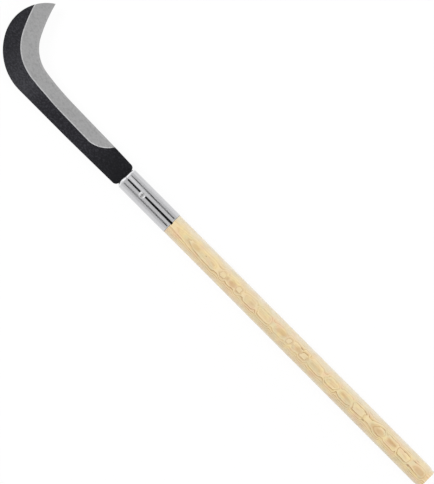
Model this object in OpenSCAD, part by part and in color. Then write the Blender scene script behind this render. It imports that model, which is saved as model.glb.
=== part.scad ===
// Long-handled hooked sickle.
// It lies flat: +Y runs from the butt of the handle to the blade, +X is the
// cutting side and +Z is the side with the open seam of the ferrule.
// The origin is the centre of the butt end, on the handle's axis.

/* [Handle] */
// Diameter of the wooden handle
handle_d = 32; // [28:0.5:40]
// Length of bare handle, from the butt to the ferrule
handle_l = 508; // [350:1:700]
// Rounding of the butt end
butt_r = 11; // [2:0.5:13]

/* [Ferrule] */
// Length of the rolled steel ferrule
ferrule_l = 92.5; // [80:0.5:120]
// How far the ferrule stands proud of the wood, all round
ferrule_proud = 0.5; // [0:0.1:1.5]
// Thickness of the ferrule's sheet steel
ferrule_wall = 1.8; // [1.2:0.1:2.4]
// Outer radius of the rim that is rolled in over the end of the wood
rim_r = 4.5; // [3:0.1:6]
// Width of the flat lip inside the rolled rim
rim_lip = 2; // [1:0.1:3]
// Width of the open seam at its upper end
seam_top_w = 2.8; // [1.5:0.1:4]
// Width of the open seam at the handle
seam_low_w = 3.5; // [1.5:0.1:5]
// Distance below the rim where the seam opens
seam_shut_l = 5.3; // [4:0.1:12]
// Gap between the sheet's edges where the rolled rim shuts the seam
seam_shut_w = 0.3; // [0.2:0.05:0.8]

/* [Blade] */
// Thickness of the blade's steel plate
blade_t = 3.5; // [2.5:0.1:5]
// Distance of the back from the axis, at the shoulder
back_x = 18.3; // [17:0.1:22]
// Distance of the cutting side from the axis, at the shoulder
front_x = 18.4; // [17:0.1:22]
// Rounding of the two shoulder corners
shoulder_r = 5; // [2:0.5:7]
// Slight outward lean of the back above the shoulder, in degrees
back_lean = 0.9; // [0:0.1:2]
// Length of the leaning stretch of the back
back_lean_l = 90; // [40:1:120]
// Length of the upright stretch of the back, below its bend
back_upright_l = 96; // [60:1:200]
// Radius of the back at the elbow
back_elbow_r = 79.8; // [75:0.1:90]
// Turn of the back along the elbow, in degrees
back_elbow_a = 63; // [50:0.1:65]
// Radius of the back over the hook, up to the tip
back_hook_r = 60.3; // [56:0.1:68]
// Outward lean of the straight cutting edge, in degrees
edge_lean = 1; // [0:0.1:2]
// Length of the straight cutting side, from the shoulder corner
edge_straight_l = 117; // [112:1:220]
// Radius of the slightly hollow stretch below the elbow
edge_belly_r = 476; // [400:1:700]
// Turn of the slightly hollow stretch, in degrees
edge_belly_a = 7.1; // [4:0.1:9]
// Radius of the cutting edge at the elbow
edge_elbow_r = 56.4; // [48:0.1:64]
// Turn of the cutting edge along the elbow, in degrees
edge_elbow_a = 54.6; // [48:0.1:60]
// Radius of the cutting edge from the elbow to the tip
edge_hook_r = 224; // [160:1:400]

/* [Ground bevel] */
// Width of the bevel along the straight
bevel_w = 20.7; // [14:0.1:25]
// Width of the bevel in the hook
bevel_hook_w = 26.4; // [21:0.1:30]
// Part of the elbow's turn over which the bevel widens
bevel_widens = 0.82; // [0.5:0.01:1]
// Blunt length from the shoulder corner to the foot of the bevel
heel_l = 34.4; // [20:0.2:50]
// Radius of the grinding wheel's run-out at the heel
runout_r = 43.6; // [30:0.1:60]
// Width of the honed strip along the edge
honed_w = 3; // [1.5:0.1:5]
// Thickness where the honed strip starts
honed_t = 1.3; // [0.9:0.1:1.8]
// Thickness left at the cutting edge
edge_t = 0.5; // [0.3:0.1:0.8]

/* [Tang] */
// Length of the flat tang inside the handle
tang_l = 76; // [60:1:78]
// Length of the tapered end of the tang
tang_taper_l = 8; // [2:1:12]

/* [Fixing screw] */
// Diameter of the screw's shank
screw_d = 4; // [3:0.1:5]
// Length of the screw under its head
screw_l = 25; // [22:0.5:28]
// Length of the screw's point
screw_point_l = 4; // [2:0.5:6]
// Diameter of the domed head
head_d = 10.3; // [8:0.1:12]
// Height of the domed head
head_h = 3; // [2:0.1:4]
// Height of the head's upright rim
head_rim_h = 0.8; // [0.4:0.1:1.2]
// Width of the slot across the head
slot_w = 1.1; // [0.6:0.1:1.4]
// Depth of the slot across the head
slot_h = 1.5; // [0.8:0.1:1.6]
// Length of each arm of the cross recess, tip to tip
recess_l = 4.8; // [4:0.1:6]
// Width of the arms of the cross recess
recess_w = 1.1; // [0.6:0.1:1.4]
// Depth of the cross recess
recess_h = 1.8; // [0.8:0.1:1.8]
// Width of the cone in the middle of the cross recess, at the top of the head
recess_cone_d = 2.4; // [1.6:0.1:3]
// Distance of the screw below the rim
screw_below_rim = 35.1; // [25:0.1:50]
// Sideways place of the screw, off the middle of the seam
screw_x = -1.4; // [-2:0.1:2]

/* [Fits] */
// Gap between the ferrule and the wood inside it
tenon_gap = 0.1; // [0.05:0.05:0.3]
// Gap on each face of the tang in its saw cut
kerf_gap = 0.15; // [0.05:0.05:0.3]
// Gap between the end of the tang and the end of its saw cut
kerf_end_gap = 0.5; // [0.2:0.1:1]
// Gap between each side of the tang and the rim's hole
tang_side_gap = 0.4; // [0.2:0.1:1]
// Gap round the screw's shank in the ferrule, the front of the wood and the tang
shank_gap = 0.3; // [0.2:0.05:0.5]
// Gap round the screw's shank where it bites
bite_gap = 0.05; // [0.02:0.01:0.1]
// Gap under the screw's head
head_gap = 0.1; // [0.05:0.05:0.3]

/* [Hidden] */
$fn = 96;

// Ferrule and tenon, worked out from the handle
ferrule_r = handle_d / 2 + ferrule_proud;
bore_r = ferrule_r - ferrule_wall;
rim_hole_r = ferrule_r - rim_r - rim_lip;
rim_y = handle_l + ferrule_l;
tenon_r = bore_r - tenon_gap;
tenon_l = ferrule_l - ferrule_wall - tenon_gap;
tenon_end_r = rim_r - ferrule_wall;
seam_open_l = ferrule_l - seam_shut_l;
screw_y = rim_y - screw_below_rim;

// Tang, as wide as the rim's hole lets through
tang_half_w = sqrt(pow(rim_hole_r, 2) - pow(blade_t / 2, 2)) - tang_side_gap;
tang_end_half_w = tang_half_w - tang_taper_l / 3;
kerf_t = blade_t + 2 * kerf_gap;
kerf_y = rim_y - tang_l - kerf_end_gap;

// Screw seat, on the edges of the seam
seat_z = sqrt(pow(ferrule_r, 2) - pow(seam_top_w / 2, 2)) + head_gap;
past = 1;

// Curves of the blade. A heading is measured in degrees from +Y towards +X,
// and every bend turns to the right, towards the hook.
arc_step = 3;
function heading(a) = [sin(a), cos(a)];
function inward(a) = [-cos(a), sin(a)];
function bend_centre(p, a, r) = p - r * inward(a);
function on_bend(c, r, a) = c + r * inward(a);
function steps(a0, a1, step = arc_step) = max(1, ceil(abs(a1 - a0) / step));
function spread(a0, a1, n) = [for (i = [1:n]) a0 + (a1 - a0) * i / n];
function heading_at(c, p) = atan2(p.y - c.y, c.x - p.x);

// Right-hand meeting point of two circles
function right_meet(c1, r1, c2, r2) =
    let (
        gap = norm(c2 - c1),
        along = (gap * gap + r1 * r1 - r2 * r2) / (2 * gap),
        across = sqrt(max(0, r1 * r1 - along * along)),
        u = (c2 - c1) / gap,
        foot = c1 + along * u,
        a = foot + across * [-u.y, u.x],
        b = foot - across * [-u.y, u.x]
    )
    a.x > b.x ? a : b;

// Cutting edge: straight, slightly hollow, elbow, hook
shoulder_y = rim_y;
edge_0 = [front_x, shoulder_y + shoulder_r];
edge_1 = edge_0 + edge_straight_l * heading(edge_lean);
belly_end_a = edge_lean + edge_belly_a;
elbow_end_a = belly_end_a + edge_elbow_a;
belly_c = bend_centre(edge_1, edge_lean, edge_belly_r);
edge_2 = on_bend(belly_c, edge_belly_r, belly_end_a);
elbow_c = bend_centre(edge_2, belly_end_a, edge_elbow_r);
edge_3 = on_bend(elbow_c, edge_elbow_r, elbow_end_a);
hook_c = bend_centre(edge_3, elbow_end_a, edge_hook_r);

// Back: leaning, upright, elbow, hook
back_0 = [-back_x, shoulder_y + shoulder_r];
back_1 = back_0 + back_lean_l * heading(-back_lean);
back_2 = back_1 + back_upright_l * heading(0);
back_elbow_c = bend_centre(back_2, 0, back_elbow_r);
back_3 = on_bend(back_elbow_c, back_elbow_r, back_elbow_a);
back_hook_c = bend_centre(back_3, back_elbow_a, back_hook_r);

// Tip, where the back's last bend meets the edge's
tip = right_meet(back_hook_c, back_hook_r, hook_c, edge_hook_r);
tip_edge_a = heading_at(hook_c, tip);
tip_back_a = heading_at(back_hook_c, tip);

function along_bend(c, r, a0, a1) =
    [for (a = spread(a0, a1, steps(a0, a1))) on_bend(c, r, a)];

edge_line = concat(
    [edge_0, edge_1],
    along_bend(belly_c, edge_belly_r, edge_lean, belly_end_a),
    along_bend(elbow_c, edge_elbow_r, belly_end_a, elbow_end_a),
    along_bend(hook_c, edge_hook_r, elbow_end_a, tip_edge_a)
);
back_line = concat(
    [back_0, back_1, back_2],
    along_bend(back_elbow_c, back_elbow_r, 0, back_elbow_a),
    along_bend(back_hook_c, back_hook_r, back_elbow_a, tip_back_a)
);
function reversed(list) = [for (i = [len(list) - 1:-1:0]) list[i]];
function corner(c, a0, a1) =
    [for (a = [a0:15:a1]) c + shoulder_r * [cos(a), sin(a)]];

tang_line = [
    [-tang_half_w, shoulder_y],
    [-tang_half_w, shoulder_y - tang_l + tang_taper_l],
    [-tang_end_half_w, shoulder_y - tang_l],
    [tang_end_half_w, shoulder_y - tang_l],
    [tang_half_w, shoulder_y - tang_l + tang_taper_l],
    [tang_half_w, shoulder_y]
];
back_corner = corner(back_0 + [shoulder_r, 0], 180, 255);
front_corner = corner(edge_0 - [shoulder_r, 0], -75, -15);
back_shoulder_end = [back_0.x + shoulder_r, shoulder_y];
front_shoulder_end = [edge_0.x - shoulder_r, shoulder_y];

// Ground bevel. Each section across the edge is a list of [distance in from
// the edge, half thickness]. The ground faces run on a little past the plate
// on both sides, and the wheel's flank leaves a wall at 45 degrees.
flat_h = blade_t / 2;
honed_h = honed_t / 2;
edge_h = edge_t / 2;
run_on = 0.6;
flank = 1.3;
outside = 1.5;
function main_slope(w) = (flat_h - honed_h) / (w - honed_w);
honed_slope = (honed_h - edge_h) / honed_w;
function ground_h(d, w) =
    d > honed_w ? honed_h + main_slope(w) * (d - honed_w) : edge_h + honed_slope * d;

// Distance in where the wall reaches the ground faces
function wall_foot(reach, w) =
    let (
        main = (reach - flat_h + honed_h - main_slope(w) * honed_w) / (1 - main_slope(w)),
        fine = (reach - flat_h + edge_h) / (1 - honed_slope)
    )
    main > honed_w ? main : fine;

function ground_section(reach, w) =
    let (
        foot = wall_foot(reach, w),
        outer = min(0, foot) - outside,
        fine = foot > honed_w + run_on ? honed_w : (foot + outer) / 2
    )
    [
        [reach + flank, flat_h + flank],
        [foot, ground_h(foot, w)],
        [fine, ground_h(fine, w)],
        [outer, ground_h(outer, w)],
        [outer, flat_h + flank]
    ];

// Stations along the edge: place, heading, reach of the wheel, full width
full_reach = bevel_w + run_on;
function runout_a(reach) = acos(1 - (full_reach - reach) / runout_r);
runout_end_l = heel_l + runout_r * sin(runout_a(0));
function hook_w(a) =
    let (part = (a - belly_end_a) / (bevel_widens * edge_elbow_a))
    bevel_w + (bevel_hook_w - bevel_w) * sin(90 * max(0, min(1, part)));
function bend_stations(c, r, a0, a1) =
    [for (a = spread(a0, a1, steps(a0, a1))) [on_bend(c, r, a), a, hook_w(a) + run_on, hook_w(a)]];
function runout_station(a) = [
    edge_0 + (runout_end_l - runout_r * sin(a)) * heading(edge_lean),
    edge_lean,
    full_reach - runout_r * (1 - cos(a)),
    bevel_w
];
runout_start_a = runout_a(-1);
runout_steps = 14;
past_tip_a = tip_edge_a + 4;
stations = concat(
    [for (i = [0:runout_steps]) runout_station(runout_start_a * (1 - i / runout_steps))],
    bend_stations(belly_c, edge_belly_r, edge_lean, belly_end_a),
    bend_stations(elbow_c, edge_elbow_r, belly_end_a, elbow_end_a),
    bend_stations(hook_c, edge_hook_r, elbow_end_a, past_tip_a)
);

module along_y() {
    rotate([-90, 0, 0]) children();
}

// Half section of a turned piece with a rounded far end
module round_ended(r, length, end_r) {
    square([r, length - end_r]);
    square([r - end_r, length]);
    intersection() {
        translate([r - end_r, length - end_r]) circle(end_r);
        square([r, length]);
    }
}

module screw_bore(r, from_z, to_z) {
    translate([screw_x, screw_y, from_z]) cylinder(r = r, h = to_z - from_z);
}

// Everything that the wheel grinds off one face of the blade
module ground_off() {
    count = len(ground_section(full_reach, bevel_w));
    last = len(stations) - 1;
    points = [
        for (s = stations, q = ground_section(s[2], s[3]))
            let (p = s[0] + q[0] * inward(s[1])) [p.x, p.y, q[1]]
    ];
    sides = [
        for (i = [0:last - 1], k = [0:count - 1], half = [0, 1])
            let (
                a = i * count + k,
                b = i * count + (k + 1) % count
            )
            half == 0 ? [a, b, b + count] : [a, b + count, a + count]
    ];
    start_cap = [for (k = [1:count - 2]) [0, k + 1, k]];
    end_cap = [for (k = [1:count - 2]) [last * count, last * count + k, last * count + k + 1]];
    polyhedron(points, concat(sides, start_cap, end_cap));
}

module blade() {
    color([0.17, 0.17, 0.19])
    difference() {
        translate([0, 0, -flat_h])
        linear_extrude(blade_t)
        polygon(concat(
            edge_line,
            reversed([for (i = [0:len(back_line) - 2]) back_line[i]]),
            back_corner,
            [back_shoulder_end],
            tang_line,
            [front_shoulder_end],
            front_corner
        ));
        ground_off();
        mirror([0, 0, 1]) ground_off();
        screw_bore(screw_d / 2 + shank_gap, -flat_h - past, flat_h + past);
    }
}

module ferrule() {
    color([0.78, 0.79, 0.8])
    difference() {
        translate([0, handle_l, 0])
        along_y()
        rotate_extrude()
        difference() {
            round_ended(ferrule_r, ferrule_l, rim_r);
            round_ended(bore_r, ferrule_l - ferrule_wall, rim_r - ferrule_wall);
            square([rim_hole_r, ferrule_l + past]);
        }
        translate([0, handle_l, 0])
        linear_extrude(ferrule_r + past)
        union() {
            polygon([
                [-seam_low_w / 2, -past],
                [seam_low_w / 2, -past],
                [seam_top_w / 2, seam_open_l - seam_top_w / 2],
                [-seam_top_w / 2, seam_open_l - seam_top_w / 2]
            ]);
            translate([0, seam_open_l - seam_top_w / 2]) circle(d = seam_top_w);
            translate([-seam_shut_w / 2, 0]) square([seam_shut_w, ferrule_l + past]);
        }
        screw_bore(screw_d / 2 + shank_gap, 0, ferrule_r + past);
    }
}

module handle() {
    color([0.86, 0.78, 0.6])
    difference() {
        along_y()
        rotate_extrude()
        union() {
            translate([0, handle_l]) mirror([0, 1]) round_ended(handle_d / 2, handle_l, butt_r);
            round_ended(tenon_r, handle_l + tenon_l, tenon_end_r);
        }
        translate([-handle_d / 2, kerf_y, -kerf_t / 2])
        cube([handle_d, rim_y - kerf_y, kerf_t]);
        screw_bore(screw_d / 2 + shank_gap, 0, ferrule_r);
        screw_bore(screw_d / 2 + bite_gap, seat_z - screw_l - past, 0);
    }
}

module fixing_screw() {
    dome_h = head_h - head_rim_h;
    dome_r = (pow(head_d / 2, 2) + pow(dome_h, 2)) / (2 * dome_h);
    cone_flare = (recess_cone_d - recess_w) / recess_h;
    color([0.84, 0.84, 0.85])
    translate([screw_x, screw_y, seat_z])
    difference() {
        union() {
            rotate_extrude()
            intersection() {
                translate([0, head_h - dome_r]) circle(dome_r);
                square([head_d / 2, head_h]);
            }
            translate([0, 0, screw_point_l - screw_l]) cylinder(d = screw_d, h = screw_l - screw_point_l);
            translate([0, 0, -screw_l]) cylinder(r1 = 0.2, r2 = screw_d / 2, h = screw_point_l);
        }
        translate([-head_d / 2, -slot_w / 2, head_h - slot_h])
        cube([head_d, slot_w, slot_h + past]);
        for (turn = [0, 90])
            rotate([0, 0, turn])
            translate([-recess_l / 2, -recess_w / 2, head_h - recess_h])
            cube([recess_l, recess_w, recess_h + past]);
        translate([0, 0, head_h - recess_h])
        cylinder(d1 = recess_w, d2 = recess_cone_d + cone_flare * past, h = recess_h + past);
    }
}

blade();
ferrule();
handle();
fixing_screw();
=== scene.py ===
"""Looks of the long-handled sickle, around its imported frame.

The tool lies flat: +Y runs from the butt to the blade, +X is the cutting side, and +Z is the side
with the ferrule's open seam. Sizes are millimetres until a mesh is made, and metres from there on.
In short names, a is an angle in degrees, r a radius, w a width, l a length along a line, h a height,
d a distance in from the cutting edge, and s a section across the blade.
"""

import math
from collections import namedtuple

import bmesh
import bpy
from mathutils import Matrix, Vector


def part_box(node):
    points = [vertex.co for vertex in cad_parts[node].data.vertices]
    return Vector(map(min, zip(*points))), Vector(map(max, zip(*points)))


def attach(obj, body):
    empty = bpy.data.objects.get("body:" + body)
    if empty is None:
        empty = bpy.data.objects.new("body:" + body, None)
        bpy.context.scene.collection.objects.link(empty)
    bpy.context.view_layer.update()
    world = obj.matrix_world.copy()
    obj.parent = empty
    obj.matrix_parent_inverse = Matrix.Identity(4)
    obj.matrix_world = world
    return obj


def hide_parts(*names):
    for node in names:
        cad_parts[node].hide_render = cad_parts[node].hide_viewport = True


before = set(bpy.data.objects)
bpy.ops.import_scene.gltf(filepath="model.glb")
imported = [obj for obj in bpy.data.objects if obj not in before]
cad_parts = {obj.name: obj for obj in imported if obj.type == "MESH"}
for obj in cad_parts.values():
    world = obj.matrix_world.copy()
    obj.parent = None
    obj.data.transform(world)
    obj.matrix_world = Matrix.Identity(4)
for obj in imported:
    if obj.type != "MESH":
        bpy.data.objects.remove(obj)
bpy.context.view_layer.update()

MM = 0.001


def corner_mm(node, top):
    """Lowest or highest corner of a node of the frame, in millimetres."""
    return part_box(node)[1 if top else 0] / MM


# Sizes that the frame gives
rim_y = corner_mm("ferrule", True).y
ferrule_low_y = corner_mm("ferrule", False).y
blade_low_y = corner_mm("blade", False).y
flat_h = corner_mm("blade", True).z
head_top_z = corner_mm("fixing_screw", True).z
floor_z = corner_mm("ferrule", False).z

# Ferrule. The frame's ferrule has facets, and skin is how far the rounder one here keeps inside them.
skin = 0.003
ferrule_r = corner_mm("ferrule", True).x - skin
ferrule_wall = 1.8
rim_r = 4.5
rim_hole_r = 10
sheet_edge_r = 0.6

# Seam of the ferrule. It narrows upwards, and is all but shut over the last stretch below the rim.
seam_top_w = 2.4
seam_low_w = 3.1
seam_shut_l = 5.3
seam_shut_w = 0.3

# Unevenness of the rolled rim: how far round from the seam it goes, and how high it rises
uneven_a = 54
uneven_h = 1.1

# Fixing screw
screw_x = -1.4
screw_y = rim_y - 35.1
screw_hole_r = 2.3
head_dome_r = 7.13

# Shoulder of the blade. Its edge draws in by drawn_w at the rim, and by nothing from drawn_l upwards.
shoulder_r = 5
corner_back_r = 7
corner_front_r = 6
drawn_w = 0.5
drawn_l = 34

# Back of the blade, from the shoulder to the tip
back_x = 18.3
back_lean = 0.9
back_lean_l = 90
back_upright_l = 96
back_elbow_r = 79.8
back_elbow_a = 63
back_hook_r = 60.3

# Cutting edge of the blade, from the shoulder to the tip
front_x = 18.4
edge_lean = 1
edge_straight_l = 117
edge_belly_r = 476
edge_belly_a = 7.1
edge_elbow_r = 56.4
edge_elbow_a = 54.6
edge_hook_r = 224

# Tang, whose foot is narrower on either side by a third of its taper's length
tang_half_w = 9.446
tang_taper_l = 8
tang_foot_half_w = tang_half_w - tang_taper_l / 3

# Rounding of the plate's edges. The back keeps facet_gap inside the frame's faceted one.
plate_edge_r = 0.6
facet_gap = 0.05

# Ground bevel. It widens over the first part of the elbow, narrows again towards the tip, and starts to
# widen in an easy curve of half length ease_l, whose middle lies ease_before ahead of the elbow.
bevel_w = 20.7
bevel_hook_w = 26.4
bevel_widens = 0.82
bevel_tip_narrows = 1.1
ease_w = 0.85
ease_l = 20
ease_before = 4

# Heel of the bevel, where the wheel leaves the plate. Past its border the wheel has cut run_on more.
heel_l = 34.4
runout_r = 43.6
run_on = 0.6

# Half thicknesses of the ground faces, and the widths of the honed strip and of the bright border
edge_h = 0.25
honed_w = 3
honed_h = 0.65
bright_w = 1.5
bright_drop = 0.2


# Curves of the blade. A heading is in degrees from +Y towards +X, and every bend turns right.
def heading(a):
    """Direction of length 1 along a heading."""
    return Vector((math.sin(math.radians(a)), math.cos(math.radians(a))))


def inward(a):
    """From the cutting edge into the plate, square to a heading."""
    return Vector((-math.cos(math.radians(a)), math.sin(math.radians(a))))


def bend_centre(place, a, r):
    """Centre of a bend that starts at a place and a heading."""
    return place - r * inward(a)


def on_bend(centre, r, a):
    """Place on a bend where it has a heading."""
    return centre + r * inward(a)


def spread(first, last, step):
    """Evenly spaced values from first to last, both included, no further apart than step."""
    count = max(1, math.ceil(abs(last - first) / step))
    return [first + (last - first) * i / count for i in range(count + 1)]


edge_0 = Vector((front_x, rim_y + shoulder_r))
edge_1 = edge_0 + edge_straight_l * heading(edge_lean)
belly_end_a = edge_lean + edge_belly_a
elbow_end_a = belly_end_a + edge_elbow_a
belly_c = bend_centre(edge_1, edge_lean, edge_belly_r)
edge_2 = on_bend(belly_c, edge_belly_r, belly_end_a)
elbow_c = bend_centre(edge_2, belly_end_a, edge_elbow_r)
edge_3 = on_bend(elbow_c, edge_elbow_r, elbow_end_a)
hook_c = bend_centre(edge_3, elbow_end_a, edge_hook_r)

back_0 = Vector((-back_x, rim_y + shoulder_r))
back_1 = back_0 + back_lean_l * heading(-back_lean)
back_2 = back_1 + back_upright_l * heading(0)
back_elbow_c = bend_centre(back_2, 0, back_elbow_r)
back_3 = on_bend(back_elbow_c, back_elbow_r, back_elbow_a)
back_hook_c = bend_centre(back_3, back_elbow_a, back_hook_r)


def right_meet(c1, r1, c2, r2):
    """Right-hand meeting point of two circles."""
    gap = (c2 - c1).length
    along = (gap * gap + r1 * r1 - r2 * r2) / (2 * gap)
    across = math.sqrt(r1 * r1 - along * along)
    u = (c2 - c1) / gap
    side = Vector((-u.y, u.x))
    return max((c1 + along * u + k * across * side for k in (1, -1)), key=lambda p: p.x)


def heading_at(centre, place):
    """Heading of a bend round a centre, at a place on it."""
    return math.degrees(math.atan2(place.y - centre.y, centre.x - place.x))


tip = right_meet(back_hook_c, back_hook_r, hook_c, edge_hook_r)
tip_edge_a = heading_at(hook_c, tip)
tip_back_a = heading_at(back_hook_c, tip)

# The back as a chain of short lines. A line counts as parallel to a section below PARALLEL, and as met
# up to END_SLACK of its length past its ends.
BACK_STEP_A = 0.5
PARALLEL = 1e-9
END_SLACK = 1e-6
back_line = [back_0 - heading(0) * shoulder_r, back_0, back_1, back_2]
for centre, r, start_a, end_a in (
    (back_elbow_c, back_elbow_r, 0, back_elbow_a),
    (back_hook_c, back_hook_r, back_elbow_a, tip_back_a),
):
    back_line += [on_bend(centre, r, a) for a in spread(start_a, end_a, BACK_STEP_A)[1:]]


def distance_to_back(place, toward):
    """Distance from a point of the cutting edge to the back, across the blade."""
    best = 0
    for a, b in zip(back_line, back_line[1:]):
        along = b - a
        across = toward.x * along.y - toward.y * along.x
        if abs(across) < PARALLEL:
            continue
        offset = a - place
        t = (offset.x * along.y - offset.y * along.x) / across
        share = (offset.x * toward.y - offset.y * toward.x) / across
        if -END_SLACK <= share <= 1 + END_SLACK and t > best:
            best = t
    return best


# A section runs from the cutting edge towards the back. Reach is how far in the wheel has cut, and is
# UNGROUND where the wheel hasn't touched it.
Section = namedtuple("Section", "place toward width bevel reach")
UNGROUND = -1


def section(place, a, bevel, reach):
    """Section across the blade, square to the edge at a place and a heading."""
    toward = inward(a)
    return Section(place, toward, max(0, distance_to_back(place, toward) - facet_gap), bevel, reach)


def ground_h(d, bevel):
    """Half thickness of the ground faces at a distance in from the edge."""
    knees = [(0, edge_h), (honed_w, honed_h), (bevel - bright_w, flat_h - bright_drop), (bevel, flat_h)]
    for (d0, h0), (d1, h1) in zip(knees, knees[1:]):
        if d <= d1:
            return h0 + (h1 - h0) * (d - d0) / (d1 - d0)
    return flat_h


def wall_foot(s):
    """Distance in where the wheel's flank, a wall at 45 degrees, reaches the ground faces."""
    halvings = 30
    low, high = 0.0, max(0.0, s.reach)
    for _ in range(halvings):
        middle = (low + high) / 2
        if ground_h(middle, s.bevel) < flat_h - (s.reach - middle):
            high = middle
        else:
            low = middle
    return low


def rounded(d, r):
    """How far a rounded side of the plate lies below its flat, at a distance in from that side."""
    return 0 if d >= r else r - math.sqrt(r * r - (r - d) ** 2)


def half_thickness(d, s):
    """Half thickness of the plate at a distance in from the cutting edge."""
    ground = flat_h
    if d < s.reach:
        ground = max(ground_h(d, s.bevel), flat_h - (s.reach - d))
    front = flat_h - rounded(d, plate_edge_r)
    back = flat_h - rounded(s.width - d, plate_edge_r)
    return min(flat_h, ground, front, back)


# Columns of the grid across the blade: how many there are, where each finish ends, and the tang's sides
COLUMNS = 17
FINE, SHINE, BORDER, TANG_FRONT, TANG_BACK = 1, 5, 6, 10, 12

# Rounding of the plate's edges: shares of their radius at which points lie, and the least step of one
ROUND_STEPS = (0.08, 0.3, 1)
LEAST_STEP = 0.2


def columns(s):
    """Distances in from the edge at which a section has its points."""
    border = max(0, min(s.bevel, s.reach))
    foot = min(border, wall_foot(s))
    fine = min(honed_w, foot)
    shine = max(fine, min(foot, border - bright_w))
    inner = [fine + (shine - fine) * k / 4 for k in (1, 2, 3)]
    front = [max(step * plate_edge_r, border + LEAST_STEP * k) for k, step in enumerate(ROUND_STEPS, 1)]
    back = [s.width - step * plate_edge_r for step in reversed(ROUND_STEPS)]
    flat = [front[-1] + (back[0] - front[-1]) * k / 4 for k in (1, 2, 3)]
    row = [0, fine, *inner, shine, border, *front, *flat, *back, s.width]
    for k in range(1, COLUMNS):
        row[k] = min(s.width, max(row[k], row[k - 1]))
    return row


def runout_reach(l):
    """Reach of the wheel at a distance along the straight edge from the shoulder corner."""
    full = bevel_w + run_on
    end_l = heel_l + math.sqrt(runout_r**2 - (runout_r - full) ** 2)
    if l >= end_l:
        return full
    if end_l - l >= runout_r:
        return UNGROUND
    return full - runout_r + math.sqrt(runout_r**2 - (end_l - l) ** 2)


def bevel_ease(a):
    """Extra width round the start of the elbow, where the bevel starts to widen in an easy curve."""
    r = edge_belly_r if a < belly_end_a else edge_elbow_r
    along = math.radians(a - belly_end_a) * r + ease_before
    return ease_w * math.cos(math.pi / 2 * min(1, abs(along) / ease_l)) ** 2


def hook_bevel(a):
    """Width of the bevel at a heading: wider round the elbow, and a little narrower again at the tip."""
    share = (a - belly_end_a) / (bevel_widens * edge_elbow_a)
    widest = bevel_w + (bevel_hook_w - bevel_w) * math.sin(math.radians(90 * max(0, min(1, share))))
    narrows = bevel_tip_narrows * max(0, (a - elbow_end_a) / (tip_edge_a - elbow_end_a))
    return widest + bevel_ease(a) - narrows


def drawn_in(h):
    """How far the unground edge draws in towards the shoulder, at a height above it."""
    return drawn_w * max(0, 1 - h / drawn_l)


def straight_sections():
    """Sections along the straight edge, close together from below the heel to past the runout."""
    low_l = corner_back_r - shoulder_r
    fine_low_l, fine_high_l = heel_l - 2, 74
    low_step, fine_step, high_step = 4, 0.5, 3
    lengths = spread(low_l, fine_low_l, low_step)[:-1]
    lengths += spread(fine_low_l, fine_high_l, fine_step)[:-1]
    lengths += spread(fine_high_l, edge_straight_l, high_step)
    made = []
    for l in lengths:
        place = edge_0 + l * heading(edge_lean) + drawn_in(shoulder_r + l) * inward(edge_lean)
        made.append(section(place, edge_lean, bevel_w, runout_reach(l)))
    return made


def bend_sections():
    """Sections round the belly, the elbow and the hook, up to the tip."""
    made = []
    for centre, r, start_a, end_a, step_a in (
        (belly_c, edge_belly_r, edge_lean, belly_end_a, 0.35),
        (elbow_c, edge_elbow_r, belly_end_a, elbow_end_a, 0.8),
        (hook_c, edge_hook_r, elbow_end_a, tip_edge_a, 0.2),
    ):
        for a in spread(start_a, end_a, step_a)[1:]:
            made.append(section(on_bend(centre, r, a), a, hook_bevel(a), hook_bevel(a) + run_on))
    return made


def shoulder_sections():
    """Level sections round the two shoulder corners, from the ferrule's rim upwards."""
    made = []
    step_a = 9
    for a in spread(90, 0, step_a)[:-1]:
        h = corner_back_r * (1 - math.sin(math.radians(a)))
        front = front_x - rounded(h, corner_front_r) - drawn_in(h)
        back = back_x - rounded(h, corner_back_r)
        made.append(Section(Vector((front, rim_y + h)), inward(0), front + back, bevel_w, UNGROUND))
    return made


def shoulder_columns(s):
    """As columns, with two of them in line with the tang's sides and one with its middle."""
    row = columns(s)
    row[TANG_FRONT] = s.place.x - tang_half_w
    row[TANG_FRONT + 1] = s.place.x
    row[TANG_BACK] = s.place.x + tang_half_w
    return row


def tang_row(y, half_w):
    """A level section of the tang with its columns. It starts past the tang, so no edge is rounded."""
    past = 1
    s = Section(Vector((half_w + past, y)), inward(0), 2 * (half_w + past), bevel_w, UNGROUND)
    row = columns(s)
    row[TANG_FRONT] = past
    row[TANG_FRONT + 1] = past + half_w
    row[TANG_BACK] = past + 2 * half_w
    return s, row


def blade_rows():
    """Section, columns and numbers of the columns in use, for each row from the tang's foot to the tip."""
    tang_foot = tang_row(blade_low_y, tang_foot_half_w)
    tang_top = tang_row(blade_low_y + tang_taper_l, tang_half_w)
    made = [(*row, range(TANG_FRONT, TANG_BACK + 1)) for row in (tang_foot, tang_top)]
    made += [(s, shoulder_columns(s), range(COLUMNS)) for s in shoulder_sections()]
    made += [(s, columns(s), range(COLUMNS)) for s in straight_sections() + bend_sections()]
    return made


# Slots of the blade's materials, in the order in which make_blade adds them
PAINT, BRIGHT, GROUND, HONED = range(4)


def blade_material(k, ground):
    """Material of the face between columns k and k + 1."""
    if not ground or k >= BORDER:
        return PAINT
    if k < FINE:
        return HONED
    return GROUND if k < SHINE else BRIGHT


def add_points(bm, s, row, used):
    """Points of a row, above and below, by the number of their column."""
    points = {}
    for k in used:
        p = s.place + row[k] * s.toward
        h = half_thickness(row[k], s)
        points[k] = (bm.verts.new((p.x, p.y, h)), bm.verts.new((p.x, p.y, -h)))
    return points


def add_face(bm, *corners, kind=PAINT):
    """A face through the given points, in one of the blade's materials."""
    bm.faces.new(corners).material_index = kind


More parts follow.
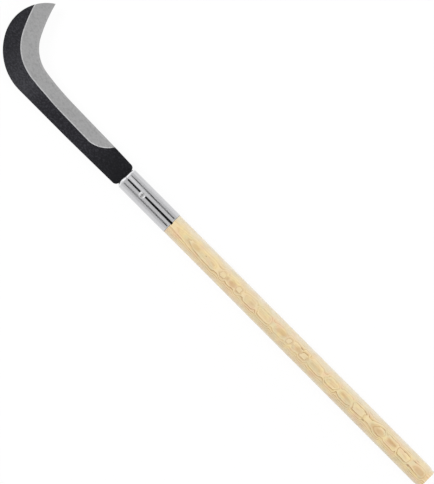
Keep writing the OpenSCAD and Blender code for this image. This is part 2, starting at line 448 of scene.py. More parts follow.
def join_rows(bm, low_s, low, high_s, high):
    """Faces between two rows: above and below, both sides, and the shoulder's ledges beside the tang."""
    shared = sorted(set(low) & set(high))
    ground = max(low_s.reach, high_s.reach) > 0
    for k, m in zip(shared, shared[1:]):
        kind = blade_material(k, ground)
        add_face(bm, low[k][0], low[m][0], high[m][0], high[k][0], kind=kind)
        add_face(bm, low[m][1], low[k][1], high[k][1], high[m][1], kind=kind)
    first, last = shared[0], shared[-1]
    kind = HONED if ground and high_s.width > 1 else PAINT
    add_face(bm, low[first][1], low[first][0], high[first][0], high[first][1], kind=kind)
    add_face(bm, low[last][0], low[last][1], high[last][1], high[last][0])
    if len(low) < len(high):
        for ledge in (range(TANG_FRONT + 1), range(TANG_BACK, COLUMNS)):
            for k, m in zip(ledge, ledge[1:]):
                add_face(bm, high[k][0], high[k][1], high[m][1], high[m][0])


def blade_mesh():
    """The plate with its tang, as a grid of rows joined above, below and round the sides."""
    bm = bmesh.new()
    rows = [(s, add_points(bm, s, row, used)) for s, row, used in blade_rows()]
    for (low_s, low), (high_s, high) in zip(rows, rows[1:]):
        join_rows(bm, low_s, low, high_s, high)
    foot = rows[0][1]
    numbers = sorted(foot)
    add_face(bm, *[foot[k][0] for k in numbers], *[foot[k][1] for k in reversed(numbers)])
    return bm


def seam_sides(y):
    """Half widths of the seam at a height: on the side of -X, and on the side of +X."""
    round_c = rim_y - seam_shut_l - seam_top_w / 2
    share = min(1, (y - ferrule_low_y) / (round_c - ferrule_low_y))
    half = (seam_low_w + (seam_top_w - seam_low_w) * share) / 2
    if y > round_c:
        half = math.sqrt(max(0, half * half - (y - round_c) ** 2))
    half = max(half, seam_shut_w / 2)
    notch = 0
    if abs(y - screw_y) < screw_hole_r:
        notch = -screw_x + math.sqrt(screw_hole_r**2 - (y - screw_y) ** 2)
    return max(half, notch), half


# Rounding of the sheet's edges: share of the radius along the sheet, and share by which it is sunk
KNEE = 0.3
EDGE_STEPS = ((0, 1), (KNEE, KNEE), (1, 0))

# Steps round the tube
AROUND = 128


def ferrule_heights():
    """Heights of the points up the tube: close together at the screw's hole and where the seam shuts."""
    hole_low_y, hole_high_y = screw_y - 3, screw_y + 3
    shut_y = rim_y - seam_shut_l
    shut_low_y, shut_high_y = shut_y - 2, shut_y + 0.2
    low_step, hole_step, high_step, shut_step = 4, 0.4, 3, 0.15
    ys = spread(ferrule_low_y + sheet_edge_r, hole_low_y, low_step)
    ys += spread(hole_low_y, hole_high_y, hole_step)[1:]
    ys += spread(hole_high_y, shut_low_y, high_step)[1:]
    ys += spread(shut_low_y, shut_high_y, shut_step)[1:-1]
    return ys + [rim_y - rim_r]


def rim_bend(r, turns):
    """Points of the rolled rim's section, at a radius from the centre of its bend."""
    centre_r, centre_y = ferrule_r - rim_r, rim_y - rim_r
    return [(centre_r + r * math.cos(turn), centre_y + r * math.sin(turn)) for turn in turns]


def ferrule_profile():
    """Closed half section of the sheet, as (radius, height) points, outside first."""
    edge = sheet_edge_r
    knee = edge * KNEE
    inner_r = ferrule_r - ferrule_wall
    ys = ferrule_heights()
    bend_step_a = 6
    turns = [math.radians(a) for a in spread(0, 90, bend_step_a)[1:]]
    outside = [(ferrule_r - edge, ferrule_low_y), (ferrule_r - knee, ferrule_low_y + knee)]
    outside += [(ferrule_r, y) for y in ys] + rim_bend(rim_r, turns)
    lip = [(rim_hole_r + edge, rim_y), (rim_hole_r + knee, rim_y - knee), (rim_hole_r, rim_y - edge)]
    lip += [(rim_hole_r, rim_y - ferrule_wall)]
    inner = rim_bend(rim_r - ferrule_wall, reversed(turns))
    inner += [(inner_r, y) for y in reversed(ys)] + [(inner_r, ferrule_low_y)]
    return outside + lip + inner


def rim_lift(turn, y):
    """How far the rolled rim rises unevenly, at a turn in radians round the tube, left of the seam."""
    rolled = max(0, (y - rim_y + rim_r) / rim_r)
    share = (2 * math.pi - turn) / math.radians(uneven_a)
    return uneven_h * rolled * math.sin(math.pi * share) if share < 1 else 0


def ring_turns(r, y):
    """Turns in radians from one side of the seam to the other, each with how far the edge is sunk."""
    left, right = seam_sides(y)
    start = math.asin(right / r)
    end = 2 * math.pi - math.asin(left / r)
    ring = [(start + along * sheet_edge_r / r, sunk) for along, sunk in EDGE_STEPS]
    ring += [(start + (end - start) * k / AROUND, 0) for k in range(1, AROUND)]
    ring += [(end - along * sheet_edge_r / r, sunk) for along, sunk in reversed(EDGE_STEPS)]
    return ring


def ferrule_mesh():
    """The rolled sheet: a ring round the tube for each point of its section, open at the seam."""
    bm = bmesh.new()
    rings = []
    for r, y in ferrule_profile():
        outside = r > ferrule_r - ferrule_wall / 2
        points = []
        for turn, sunk in ring_turns(r, y):
            radius = r - (sunk * sheet_edge_r if outside else 0)
            place = (radius * math.sin(turn), y + rim_lift(turn, y), radius * math.cos(turn))
            points.append(bm.verts.new(place))
        rings.append(points)
    for low, high in zip(rings, rings[1:] + rings[:1]):
        for k in range(len(low) - 1):
            bm.faces.new((low[k], low[k + 1], high[k + 1], high[k]))
    for k in (0, -1):
        side = bm.faces.new([ring[k] for ring in rings])
        bmesh.ops.triangulate(bm, faces=[side])
    return bm


def new_object(name, bm):
    """A mesh object in metres from a bmesh in millimetres."""
    bmesh.ops.remove_doubles(bm, verts=bm.verts, dist=0.002)
    bmesh.ops.dissolve_degenerate(bm, edges=bm.edges, dist=0.0005)
    bmesh.ops.recalc_face_normals(bm, faces=bm.faces)
    bmesh.ops.scale(bm, vec=(MM, MM, MM), verts=bm.verts)
    mesh = bpy.data.meshes.new(name)
    bm.to_mesh(mesh)
    bm.free()
    made = bpy.data.objects.new(name, mesh)
    bpy.context.scene.collection.objects.link(made)
    return made


def smooth_by_angle(made, limit_a):
    """Smooth shading, with a crisp line where two faces meet at more than a limit."""
    mesh = made.data
    bm = bmesh.new()
    bm.from_mesh(mesh)
    for face in bm.faces:
        face.smooth = True
    for edge in bm.edges:
        edge.smooth = len(edge.link_faces) == 2 and math.degrees(edge.calc_face_angle()) < limit_a
    bm.to_mesh(mesh)
    bm.free()


def display(r, g, b):
    """Linear colour of a display colour given from 0 to 255."""
    return tuple(((c / 255 + 0.055) / 1.055) ** 2.4 for c in (r, g, b)) + (1,)


class Finish:
    """A node material, with short calls for what its nodes compute. Its places are millimetres."""

    def __init__(self, name, roughness, metallic=0.0, specular=0.5):
        self.material = bpy.data.materials.new(name)
        self.material.use_nodes = True
        self.tree = self.material.node_tree
        self.surface = self.tree.nodes["Principled BSDF"]
        self.surface.inputs["Metallic"].default_value = metallic
        self.surface.inputs["Roughness"].default_value = roughness
        self.surface.inputs["Specular IOR Level"].default_value = specular
        place = self.tree.nodes.new("ShaderNodeTexCoord").outputs["Object"]
        self.place = self.vector("SCALE", place, scale=1 / MM)

    def put(self, socket, value):
        """Links a node's output to a socket, or sets the socket to a number or colour."""
        if isinstance(value, bpy.types.NodeSocket):
            self.tree.links.new(value, socket)
        else:
            socket.default_value = value

    def set(self, name, value):
        """Links or sets an input of the surface."""
        self.put(self.surface.inputs[name], value)

    def vector(self, operation, a, b=None, scale=None):
        node = self.tree.nodes.new("ShaderNodeVectorMath")
        node.operation = operation
        self.put(node.inputs[0], a)
        if b is not None:
            self.put(node.inputs[1], b)
        if scale is not None:
            node.inputs["Scale"].default_value = scale
        return node.outputs["Value" if operation == "LENGTH" else "Vector"]

    def math(self, operation, a, b=0.0):
        node = self.tree.nodes.new("ShaderNodeMath")
        node.operation = operation
        self.put(node.inputs[0], a)
        self.put(node.inputs[1], b)
        return node.outputs[0]

    def plus(self, first, *others):
        for other in others:
            first = self.math("ADD", first, other)
        return first

    def minus(self, a, b):
        return self.math("SUBTRACT", a, b)

    def times(self, a, b):
        return self.math("MULTIPLY", a, b)

    def largest(self, first, *others):
        for other in others:
            first = self.math("MAXIMUM", first, other)
        return first

    def apart(self, value, middle):
        """Distance of a value from a middle, on either side."""
        return self.math("ABSOLUTE", self.minus(value, middle))

    def axis(self, name):
        """Place along X, Y or Z."""
        node = self.tree.nodes.new("ShaderNodeSeparateXYZ")
        self.put(node.inputs[0], self.place)
        return node.outputs[name]

    def reach(self, centre, scale):
        """Distance from a centre, with a scale on each axis."""
        off = self.vector("SUBTRACT", self.place, centre)
        return self.vector("LENGTH", self.vector("MULTIPLY", off, scale))

    def noise(self, stretch, detail=2.0, rough=0.5, place=None):
        """Noise from 0 to 1. stretch is how many cells there are per millimetre along X, Y and Z."""
        node = self.tree.nodes.new("ShaderNodeTexNoise")
        node.inputs["Scale"].default_value = 1
        node.inputs["Detail"].default_value = detail
        node.inputs["Roughness"].default_value = rough
        self.put(node.inputs["Vector"], self.vector("MULTIPLY", place or self.place, stretch))
        return node.outputs["Fac"]

    def wander(self, stretch, height):
        """Noise either side of nought, by up to a height."""
        return self.times(self.minus(self.noise(stretch), 0.5), 2 * height)

    def between(self, value, low, high, out_low=0.0, out_high=1.0):
        """Eases from out_low to out_high as value goes from low to high, and holds at both ends."""
        node = self.tree.nodes.new("ShaderNodeMapRange")
        node.interpolation_type = "SMOOTHSTEP"
        for socket, number in zip(node.inputs[0:5], (value, low, high, out_low, out_high)):
            self.put(socket, number)
        return node.outputs[0]

    def band(self, value, low, full, fading, high):
        """1 from full to fading, eased to 0 at low and at high."""
        return self.times(self.between(value, low, full), self.between(value, fading, high, 1, 0))

    def mix(self, share, a, b):
        """Colour a with a share of colour b. Inputs 6 and 7 and output 2 are the node's colour ones."""
        node = self.tree.nodes.new("ShaderNodeMix")
        node.data_type = "RGBA"
        self.put(node.inputs[0], share)
        self.put(node.inputs[6], a)
        self.put(node.inputs[7], b)
        return node.outputs[2]

    def ramp(self, value, stops):
        """Colours at given places from 0 to 1, blended in between."""
        node = self.tree.nodes.new("ShaderNodeValToRGB")
        self.put(node.inputs[0], value)
        points = node.color_ramp.elements
        while len(points) < len(stops):
            points.new(0.5)
        for point, (at, shade) in zip(points, stops):
            point.position = at
            point.color = shade
        return node.outputs[0]

    def curve(self, value, points):
        """A smooth curve through (value, result) points, whose results lie from -limit to limit."""
        limit = 2.5
        node = self.tree.nodes.new("ShaderNodeFloatCurve")
        first, last = points[0][0], points[-1][0]
        line = node.mapping.curves[0].points
        while len(line) < len(points):
            line.new(0.5, 0.5)
        for point, (at, result) in zip(line, points):
            point.location = ((at - first) / (last - first), (result + limit) / (2 * limit))
            point.handle_type = "AUTO_CLAMPED"
        node.mapping.update()
        share = self.math("DIVIDE", self.minus(value, first), last - first)
        self.put(node.inputs["Value"], share)
        return self.minus(self.times(node.outputs[0], 2 * limit), limit)

    def bump(self, height, depth):
        """Relief of the given depth in millimetres."""
        node = self.tree.nodes.new("ShaderNodeBump")
        node.inputs["Distance"].default_value = depth * MM
        self.put(node.inputs["Height"], height)
        self.set("Normal", node.outputs[0])


def paint_shade(finish, y):
    """Black that is darkest at the shoulder, and greyest round the elbow."""
    neck = finish.between(y, rim_y + 20, rim_y + 90)
    elbow = finish.between(y, rim_y + 145, rim_y + 190)
    hook = finish.between(y, rim_y + 208, rim_y + 250)
    shade = finish.mix(neck, display(20, 20, 24), display(31, 30, 35))
    shade = finish.mix(elbow, shade, display(51, 51, 55))
    return finish.mix(hook, shade, display(33, 33, 37))


def black_paint():
    """Satin black paint, blotched and specked."""
    finish = Finish("blade_paint", 0.42, specular=0.15)
    y = finish.axis("Y")
    blotch = finish.noise((0.05, 0.03, 0.05))
    mottle = finish.noise((0.5, 0.3, 0.5), detail=3, rough=0.6)
    speck = finish.noise((1.4, 1.4, 1.4), detail=3)
    shade = paint_shade(finish, y)
    shade = finish.mix(finish.between(blotch, 0.35, 0.65, 0, 0.25), shade, display(18, 18, 22))
    shade = finish.mix(finish.between(mottle, 0.45, 0.62, 0, 0.45), shade, display(14, 14, 17))
    shade = finish.mix(finish.between(mottle, 0.5, 0.36, 0, 0.3), shade, display(72, 72, 78))
    shade = finish.mix(finish.between(speck, 0.45, 0.8, 0, 0.3), shade, display(66, 66, 72))
    shade = finish.mix(finish.between(y, rim_y + 70, rim_y + 15, 0, 0.6), shade, display(15, 15, 18))
    finish.set("Base Color", shade)
    finish.set("Roughness", finish.between(mottle, 0.3, 0.7, 0.38, 0.52))
    finish.bump(finish.plus(speck, mottle), 0.02)
    return finish.material


def ground_steel(name, dark, light, roughness):
    """Bare steel ground across the bevel by a coarse wheel, between two greys."""
    finish = Finish(name, roughness, metallic=1.0)
    streak = finish.noise((2.2, 0.35, 0.5), detail=3, rough=0.6)
    cloud = finish.noise((0.08, 0.05, 0.08))
    mottle = finish.noise((0.45, 0.25, 0.45), detail=3, rough=0.6)
    shade = finish.mix(finish.between(streak, 0.3, 0.7), dark, light)
    shade = finish.mix(finish.between(cloud, 0.35, 0.7, 0, 0.35), shade, light)
    shade = finish.mix(finish.between(mottle, 0.48, 0.66, 0, 0.4), shade, display(150, 150, 150))
    finish.set("Base Color", shade)
    finish.set("Roughness", finish.between(cloud, 0.3, 0.7, roughness - 0.05, roughness + 0.07))
    finish.bump(streak, 0.006)
    return finish.material


def bright_steel(name, dark, light, roughness):
    """Plated sheet steel, drawn lengthwise, and lighter where the rim is rolled in, a painted highlight.
    """
    finish = Finish(name, roughness, metallic=1.0)
    streak = finish.noise((1.6, 0.03, 1.6), detail=3, rough=0.6)
    cloud = finish.noise((0.12, 0.05, 0.12))
    grit = finish.noise((2.5, 2.5, 2.5), detail=2)
    shade = finish.mix(finish.between(streak, 0.3, 0.7), dark, light)
    shade = finish.mix(finish.between(grit, 0.55, 0.75, 0, 0.3), shade, dark)
    # Painted highlight: lighter steel towards the rolled rim.
    rim_highlight = finish.between(finish.axis("Y"), rim_y - 4, rim_y - 2.5, 0, 0.8)
    finish.set("Base Color", finish.mix(rim_highlight, shade, display(238, 238, 240)))
    finish.set("Roughness", finish.between(cloud, 0.3, 0.7, roughness - 0.05, roughness + 0.06))
    finish.bump(finish.plus(streak, grit), 0.002)
    return finish.material


def screw_steel():
    """Bright plated steel, rougher and a little darker down in the head's recess, the darker colour being
    painted shade.
    """
    finish = Finish("screw_steel", 0.26, metallic=1.0)
    off = finish.vector("SUBTRACT", finish.place, (screw_x, screw_y, head_top_z - head_dome_r))
    depth = finish.minus(head_dome_r, finish.vector("LENGTH", off))
    recess_shade = finish.between(depth, 0.02, 0.25)
    grit = finish.noise((2.5, 2.5, 2.5), detail=2)
    shade = finish.mix(finish.between(grit, 0.35, 0.7), display(206, 206, 208), display(219, 219, 220))
    # Painted shade: the colour is a little darker down in the head's recess.
    finish.set("Base Color", finish.mix(recess_shade, shade, display(200, 199, 198)))
    rough = finish.between(grit, 0.3, 0.7, 0.22, 0.3)
    finish.set("Roughness", finish.plus(rough, finish.times(recess_shade, 0.4)))
    finish.bump(grit, 0.003)
    return finish.material


# Growth rings of the handle. The pith lies far below its axis, so the rings are nearly flat at the top.
handle_r = 16.0
pith_x, pith_z = -3.0, -72.0
ring_gap = 1.5

# Whole rings added to the count, which keep it above nought along the top without changing its part
RINGS_INSIDE = 10

# Swells of the rings along the top: height, half length, how many rings the swell stands above the
# nearest ring's edge, and how much higher its lower end is. Those above that edge show as pale ovals,
# those just below it as brown cores.
SWELLS = (
    (48, 12, 0.5, 0),
    (73, 10, -0.15, 0),
    (99, 11, 0.35, 0.3),
    (137, 13, 0.5, -0.05),
    (163, 11, -0.15, 0),
    (191, 12, 0.65, 0),
    (222, 12, -0.15, 0),
    (246, 7.5, 0.4, 0),
    (262, 5, -0.15, 0),
    (275, 5.5, 0.3, 0),
    (293, 10, -0.15, 0),
    (324, 13, 0.7, 0),
    (353, 10, -0.15, 0),
    (375, 5, 0.25, 0),
    (391, 5, -0.15, 0),
    (405, 6, 0.4, 0),
)

# Halfway to its ends a swell is lower by SWELL_ROUNDS, and between swells the rings sink to DIP. At the
# pinches they sink to PINCH, which draws the lines on both sides together.
SWELL_ROUNDS = 0.1
DIP = -0.5
PINCH = -0.78
PINCHES = (35, 61.5, 85, 121, 151, 177, 206.5, 236.5, 282, 307, 340, 367)

# Rings at the butt, and from the last swell up to the ferrule: height, and rings above that edge
BUTT_LEVELS = ((0, -0.45), (20, -0.35))
TOP_LEVELS = (
    (416, -0.6),
    (424, -0.25),
    (440, -0.35),
    (455, -0.5),
    (466, -0.85),
    (478, -1.25),
    (494, -1.5),
    (510, -1.7),
)

# Spots on the top side, NEAR_TOP_Z high: place across, height along the handle, half width, and half
# length where it isn't the same for all
NEAR_TOP_Z = 15
PIN_KNOTS = ((-4.5, 124, 1.6), (-5, 34, 1.4), (1.8, 441, 0.8), (5.4, 50, 0.9), (-9, 300, 0.8))
BROWN_CORES = (
    (-0.5, 100, 6, 15),
    (0, 16, 6, 14),
    (1, 256, 5, 7),
    (0.5, 461, 5, 9),
    (2.5, 289, 4, 10),
    (0.5, 387, 6, 7),
    (0.9, 398, 4, 3.5),
    (0.2, 239, 3.5, 4),
)
DULL_OVALS = (
    (0, 137, 9, 20),
    (0, 246, 8, 12),
    (0, 275, 8, 9),
    (0, 353, 9, 16),
    (0, 375, 8, 9),
    (0, 405, 8, 10),
)

# Where the rings' lines fade along the top: height, half length, and the share that is lost
FADED = ((405, 9, 0.5), (375, 9, 0.55), (275, 9, 0.5), (193, 7, 0.5), (84, 7, 0.75), (36, 7, 0.75))


def ring_level(finish, y):
    """Rings along the top of the handle, up and down through the swells and past them to the ferrule."""
    points = [*BUTT_LEVELS, *TOP_LEVELS]
    for middle, half, height, lean in SWELLS:
        side = height - SWELL_ROUNDS
        for share, level in ((-1, DIP), (-0.5, side + lean), (0.5, side - lean), (1, DIP)):
            points.append((middle + share * half, level))
    points += [(y_pinch, PINCH) for y_pinch in PINCHES]
    return finish.curve(y, sorted(points))


def growth(finish):
    """Rings outwards from the pith, counted from the edge of the ring that the swells reach."""
    drift = finish.plus(finish.wander((0.0, 0.02, 0.0), 8.0), finish.wander((0.12, 0.07, 0.12), 6.0))
    offset = finish.tree.nodes.new("ShaderNodeCombineXYZ")
    finish.put(offset.inputs["X"], finish.minus(drift, pith_x))
    offset.inputs["Z"].default_value = -pith_z
    across = finish.vector("MULTIPLY", finish.place, (1, 0, 1))
    radius = finish.vector("LENGTH", finish.vector("ADD", across, offset.outputs[0]))
    bumpy = finish.plus(
        finish.minus(radius, math.hypot(pith_x, pith_z) + handle_r),
        finish.wander((0.07, 0.04, 0.07), 0.25),
        finish.wander((0.4, 0.14, 0.4), 0.13),
    )
    y = finish.plus(finish.axis("Y"), finish.wander((0.14, 0.05, 0.14), 5.0))
    return finish.plus(finish.math("DIVIDE", bumpy, ring_gap), ring_level(finish, y))


def pin_knot(finish, x, y, half_w):
    """Share of one small dark knot near the handle's top side."""
    reach = finish.reach((x, y, NEAR_TOP_Z), (1 / half_w, 0.45 / half_w, 0.15))
    return finish.between(reach, 0.3, 1.1, 1.0, 0.0)


def soft_spot(finish, x, y, half_w, half_l):
    """Share of one spot of another tone near the handle's top side, fading outwards."""
    reach = finish.reach((x, y, NEAR_TOP_Z), (1 / half_w, 1 / half_l, 0.05))
    return finish.between(reach, 0.3, 1.2, 1.0, 0.0)


def spots(finish, one_spot, places):
    """Share of all the spots of one kind, each made by the function one_spot."""
    return finish.largest(0.0, *[one_spot(finish, *place) for place in places])


def patch(finish, shade, size, shift, share, tint):
    """Tints the shade in soft patches. Each tint's patches have their own shift through the noise."""
    place = finish.vector("ADD", finish.place, (shift, shift, shift))
    cloud = finish.noise((1 / size, 0.7 / size, 1 / size), detail=1, place=place)
    return finish.mix(finish.between(cloud, 0.45, 0.7, 0, share), shade, tint)


def flank_light_share(finish):
    """Share of painted light, a pale veil on both sides of the handle, most of it at +X."""
    x = finish.axis("X")
    left = finish.between(finish.times(x, -1), 8, 17, 0, 0.5)
    both = finish.plus(finish.between(x, 4, 17, 0, 0.75), left)
    patchy = finish.between(finish.noise((0.12, 0.06, 0.12), detail=1), 0.35, 0.65, 0.7, 1.25)
    return finish.times(both, patchy)


def calm_side(finish):
    """Share by which the rings' figure fades towards +X. It stays clear low down and round one oval."""
    clear_oval_y = 246
    y = finish.axis("Y")
    right = finish.plus(finish.between(y, 140, 170, 0.1, 0.75), finish.between(y, 412, 428, 0, 0.17))
    right = finish.largest(right, finish.between(y, 30, 20, 0, 0.8))
    clear = finish.between(finish.apart(y, clear_oval_y), 8, 13, 0.6, 0)
    return finish.between(finish.axis("X"), -5, 1, 0, finish.minus(right, clear))


def line_strength(finish, calm):
    """How dark the thin lines at the rings' edges are: patchy, and fainter on the calm side."""
    strength = finish.between(finish.noise((0.1, 0.05, 0.1), detail=1), 0.4, 0.56, 0.12, 1.0)
    for middle, half, lost in FADED:
        off = finish.apart(finish.axis("Y"), middle)
        strength = finish.times(strength, finish.between(off, half / 3, half, 1 - lost, 1))
    return finish.times(strength, finish.minus(1, calm))


def ring_wood(finish, part, calm):
    """Pale early wood and browner late wood, by the part of a ring, with patches and spots in it."""
    stops = (
        (0, display(227, 208, 168)),
        (0.2, display(224, 203, 161)),
        (0.5, display(220, 198, 155)),
        (0.7, display(208, 181, 137)),
        (0.94, display(202, 173, 129)),
        (1, display(227, 208, 168)),
    )
    shade = finish.ramp(part, stops)
    flank = finish.between(finish.axis("X"), 2, 5, 0, 0.6)
    shade = finish.mix(finish.times(calm, flank), shade, display(221, 200, 157))
    shade = patch(finish, shade, 12, 47, 0.5, display(221, 184, 154))
    shade = patch(finish, shade, 9, 90, 0.6, display(228, 209, 152))
    shade = patch(finish, shade, 10, 200, 0.5, display(202, 196, 162))
    cores = finish.times(spots(finish, soft_spot, BROWN_CORES), 0.5)
    dull = finish.times(spots(finish, soft_spot, DULL_OVALS), 0.33)
    shade = finish.mix(cores, shade, display(186, 152, 108))
    return finish.mix(dull, shade, display(205, 187, 158))


def ring_lines(finish, shade, part, calm):
    """Draws each ring's late wood, a faint line in its early wood, and the thin line at its edge."""
    strength = line_strength(finish, calm)
    fainter_high_up = finish.between(finish.axis("Y"), 455, 470, 1.0, 0.4)
    late = finish.times(finish.band(part, 0.6, 0.88, 0.95, 1.0), fainter_high_up)
    late = finish.times(late, finish.between(strength, 0, 0.8, 0.22, 0.6))
    early = finish.times(finish.band(part, 0.36, 0.46, 0.48, 0.56), 0.3)
    line = finish.times(finish.band(part, 0.87, 0.93, 0.96, 1.0), strength)
    shade = finish.mix(late, shade, display(180, 140, 94))
    shade = finish.mix(early, shade, display(190, 150, 102))
    return finish.mix(line, shade, display(132, 86, 45))


def seam_shade_share(finish):
    """1 on the tenon, whose black is painted shade for the dark inside of the seam, and a little below the
    seam.
    """
    tenon_y = ferrule_low_y - 0.2
    from_seam = finish.math("ABSOLUTE", finish.axis("X"))
    shade_below_seam = finish.between(from_seam, 1.2, 2.2, 1.0, 0)
    return finish.between(finish.plus(finish.axis("Y"), shade_below_seam), tenon_y, tenon_y + 0.1)


def pale_wood():
    """Flat-sawn wood turned round: its nearly flat growth rings come out as ovals along the top."""
    finish = Finish("pale_wood", 0.5, specular=0.3)
    part = finish.math("FRACT", finish.plus(growth(finish), RINGS_INSIDE))
    calm = calm_side(finish)
    fibre = finish.noise((1.3, 0.05, 1.3), detail=3, rough=0.6)
    pores = finish.between(finish.noise((2.6, 0.16, 2.6), detail=1), 0.66, 0.76)
    shade = ring_wood(finish, part, calm)
    shade = finish.mix(finish.between(fibre, 0.5, 0.8, 0, 0.3), shade, display(184, 152, 106))
    shade = ring_lines(finish, shade, part, calm)
    shade = finish.mix(finish.times(pores, 0.4), shade, display(150, 118, 80))
    shade = finish.mix(finish.times(spots(finish, pin_knot, PIN_KNOTS), 0.6), shade, display(120, 84, 56))
    # Painted light: a pale veil over both sides of the handle, strongest at +X.
    shade = finish.mix(flank_light_share(finish), shade, display(222, 214, 196))
    # Painted shade: the tenon is black where the seam shows into the ferrule, a little greyer above the
    # screw.
    seam_shade = seam_shade_share(finish)
    greyer_above_screw = finish.between(finish.axis("Y"), screw_y + 4, screw_y + 12)
    seam_shade_colour = finish.mix(greyer_above_screw, display(5, 5, 7), display(28, 28, 30))
    finish.set("Base Color", finish.mix(seam_shade, shade, seam_shade_colour))
    rough = finish.between(fibre, 0.3, 0.7, 0.42, 0.56)
    finish.set("Roughness", finish.plus(rough, finish.times(seam_shade, 0.4)))
    finish.set("Coat Weight", finish.times(finish.minus(1, seam_shade), 0.25))
    finish.set("Coat Roughness", 0.3)
    finish.set("Sheen Weight", 0.15)
    finish.set("Sheen Roughness", 0.4)
    finish.bump(finish.minus(fibre, pores), 0.02)
    return finish.material


def dress_node(name, material):
    """Gives a CAD node a material in its own slots."""
    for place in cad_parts[name].material_slots:
        place.material = material


def make_blade():
    blade = new_object("blade_plate", blade_mesh())
    smooth_by_angle(blade, limit_a=2.6)
    for material in (
        black_paint(),
        # The bevel's border is lighter steel: partly a bright strip where the grind cut the paint, partly
        # painted highlight along the grind's edge.
        ground_steel("bevel_border", display(212, 212, 214), display(224, 224, 225), 0.3),
        ground_steel("ground_bevel", display(175, 175, 176), display(190, 190, 190), 0.42),
        ground_steel("honed_edge", display(180, 180, 180), display(194, 194, 194), 0.38),
    ):
        blade.data.materials.append(material)
    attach(blade, "root")
    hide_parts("blade")


def make_ferrule():
    ferrule = new_object("ferrule_sleeve", ferrule_mesh())
    smooth_by_angle(ferrule, limit_a=40)
    steel = bright_steel("ferrule_steel", display(198, 198, 200), display(214, 214, 216), 0.19)
    ferrule.data.materials.append(steel)
    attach(ferrule, "root")
    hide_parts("ferrule")


def empty_tree(owner):
    """The node tree of a material or a world, with nothing in it."""
    owner.use_nodes = True
    owner.node_tree.nodes.clear()
    return owner.node_tree


def white_to_the_eye(tree, strength):
    """A share that is strength for camera, mirror and see-through rays, and 0 for the light itself."""
    path = tree.nodes.new("ShaderNodeLightPath")
    seen = path.outputs["Is Camera Ray"]
    for name in ("Is Glossy Ray", "Is Transmission Ray"):
        node = tree.nodes.new("ShaderNodeMath")
        node.operation = "MAXIMUM"
        tree.links.new(seen, node.inputs[0])
        tree.links.new(path.outputs[name], node.inputs[1])
        seen = node.outputs[0]
    node = tree.nodes.new("ShaderNodeMath")
    node.operation = "MULTIPLY"
    tree.links.new(seen, node.inputs[0])
    node.inputs[1].default_value = strength
    return node.outputs[0]


def show_mixed(tree, out_kind, share, lit, white):
    """Shows a shader to the light, and a share of a white one to the eye."""
    mixed = tree.nodes.new("ShaderNodeMixShader")
    out = tree.nodes.new(out_kind)
    tree.links.new(white_to_the_eye(tree, share), mixed.inputs[0])
    tree.links.new(lit.outputs[0], mixed.inputs[1])
    tree.links.new(white.outputs[0], mixed.inputs[2])
    tree.links.new(mixed.outputs[0], out.inputs[0])


def stage_mesh(name, points, faces, material):
    """A mesh of the stage, whose points are in metres."""
    mesh = bpy.data.meshes.new(name)
    mesh.from_pydata(points, [], faces)
    mesh.materials.append(material)
    made = bpy.data.objects.new(name, mesh)
    bpy.context.scene.collection.objects.link(made)
    return made


def set_floor():
    half = 30
    material = bpy.data.materials.new("white_floor")
    tree = empty_tree(material)
    matt = tree.nodes.new("ShaderNodeBsdfDiffuse")
    matt.inputs["Color"].default_value = (0.92, 0.92, 0.92, 1)
    glow = tree.nodes.new("ShaderNodeEmission")
    glow.inputs["Strength"].default_value = 1
    show_mixed(tree, "ShaderNodeOutputMaterial", share=0.93, lit=matt, white=glow)
    corners = [(x * half, y * half, floor_z * MM) for x, y in ((-1, -1), (1, -1), (1, 1), (-1, 1))]
    floor = stage_mesh("floor", corners, [(0, 1, 2, 3)], material)


def set_world():
    world = bpy.data.worlds.new("studio")
    bpy.context.scene.world = world
    tree = empty_tree(world)
    fill = tree.nodes.new("ShaderNodeBackground")
    fill.inputs["Strength"].default_value = 0.7
    white = tree.nodes.new("ShaderNodeBackground")
    white.inputs["Strength"].default_value = 1
    show_mixed(tree, "ShaderNodeOutputWorld", share=1, lit=fill, white=white)


def add_lamp(name, place, target, size, watts):
    """A round lamp that lights the tool, and that neither the camera nor a mirror sees."""
    light = bpy.data.lights.new(name, "AREA")
    light.shape = "DISK"
    light.size = size
    light.energy = watts
    lamp = bpy.data.objects.new(name, light)
    bpy.context.scene.collection.objects.link(lamp)
    lamp.location = place
    lamp.rotation_mode = "QUATERNION"
    lamp.rotation_quaternion = (Vector(target) - Vector(place)).to_track_quat("-Z", "Y")
    lamp.visible_camera = False
    lamp.visible_glossy = False


def add_card(name, rows, shade):
    """A studio card that only mirrors see: a strip through pairs of points, one pair a row."""
    material = bpy.data.materials.new(name)
    tree = empty_tree(material)
    glow = tree.nodes.new("ShaderNodeEmission")
    glow.inputs["Color"].default_value = (1, 1, 1, 1)
    glow.inputs["Strength"].default_value = shade
    out = tree.nodes.new("ShaderNodeOutputMaterial")
    tree.links.new(glow.outputs[0], out.inputs[0])
    points = [point for pair in rows for point in pair]
    faces = [(k, k + 1, k + 3, k + 2) for k in range(0, len(points) - 2, 2)]
    card = stage_mesh(name, points, faces, material)
    card.visible_camera = False
    card.visible_diffuse = False
    card.visible_shadow = False
    card.visible_transmission = False


def around_tool(away, a, y):
    """A point at a distance from the tool's axis, a degrees from straight above towards +X."""
    return (away * math.sin(math.radians(a)), y, away * math.cos(math.radians(a)))


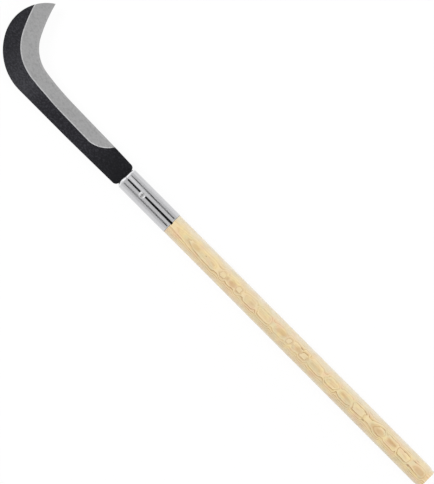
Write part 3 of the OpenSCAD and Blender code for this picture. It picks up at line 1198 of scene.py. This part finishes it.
# Dark cards along the tool, as a studio uses to draw lines in bright metal. A row of a card has its place
# along the tool in metres, the angle of its middle from straight above, and half the angle it covers.
DARK_CARD_AWAY = 0.45
DARK_CARD_SHADE = 0.05
DARK_CARDS = (
    ("dark_card_left", ((0.4, -50.5, 7.4), (0.56, -50, 7.4), ((rim_y + 7) * MM, -52, 7))),
    ("dark_card_right", ((0.4, 49.5, 7.4), (0.55, 50, 7.2), ((rim_y + 8) * MM, 56, 5.8))),
)


def set_cards():
    """The dark cards, and four bright ones."""
    for name, line in DARK_CARDS:
        rows = [[around_tool(DARK_CARD_AWAY, a + k * half_a, y) for k in (-1, 1)] for y, a, half_a in line]
        add_card(name, rows, DARK_CARD_SHADE)
    add_card("overhead_card", [((-0.6, y, 1.6), (0.6, y, 1.6)) for y in (-0.6, 1.4)], 0.72)
    add_card("rim_card", [((-1.6, 2.2, z), (1.6, 2.2, z)) for z in (0.05, 2.0)], 1.15)
    add_card("near_card", [((-0.8, -0.7, z), (0.8, -0.7, z)) for z in (0.3, 1.3)], 1.3)
    strip = [(around_tool(0.46, 13, y), around_tool(0.46, 41, y)) for y in (0.57, 0.66)]
    add_card("strip_card", strip, 1.05)


def set_camera():
    """Straight above, turned as the photograph is, with a long lens."""
    turn = math.radians(-44.88)
    look_x, look_y = 0.0266, 0.4447
    seen_long_side = 0.6795
    away = 15.0
    data = bpy.data.cameras.new("camera")
    data.sensor_fit = "AUTO"
    data.sensor_width = 36
    data.lens = data.sensor_width * away / seen_long_side
    data.clip_start = 0.1
    data.clip_end = 60
    camera = bpy.data.objects.new("camera", data)
    bpy.context.scene.collection.objects.link(camera)
    camera.matrix_world = Matrix.Translation((look_x, look_y, away)) @ Matrix.Rotation(turn, 4, "Z")
    bpy.context.scene.camera = camera


def set_stage():
    """Floor, light and camera. Each lamp has its place and target, its size and its power in watts."""
    set_floor()
    set_world()
    set_cards()
    add_lamp("lamp_far", (-0.5, 2.6, 1.6), (0, 0.5, 0), 1.2, 40)
    add_lamp("lamp_near", (0.6, -1.9, 1.8), (0, 0.4, 0), 1.2, 34)
    add_lamp("lamp_right", (2.0, 0.4, 0.7), (0, 0.4, 0), 1.0, 9)
    add_lamp("lamp_left", (-2.0, 0.4, 0.7), (0, 0.4, 0), 1.0, 4)
    set_camera()
    bpy.context.scene.view_settings.view_transform = "Standard"


make_blade()
make_ferrule()
dress_node("handle", pale_wood())
dress_node("fixing_screw", screw_steel())
set_stage()
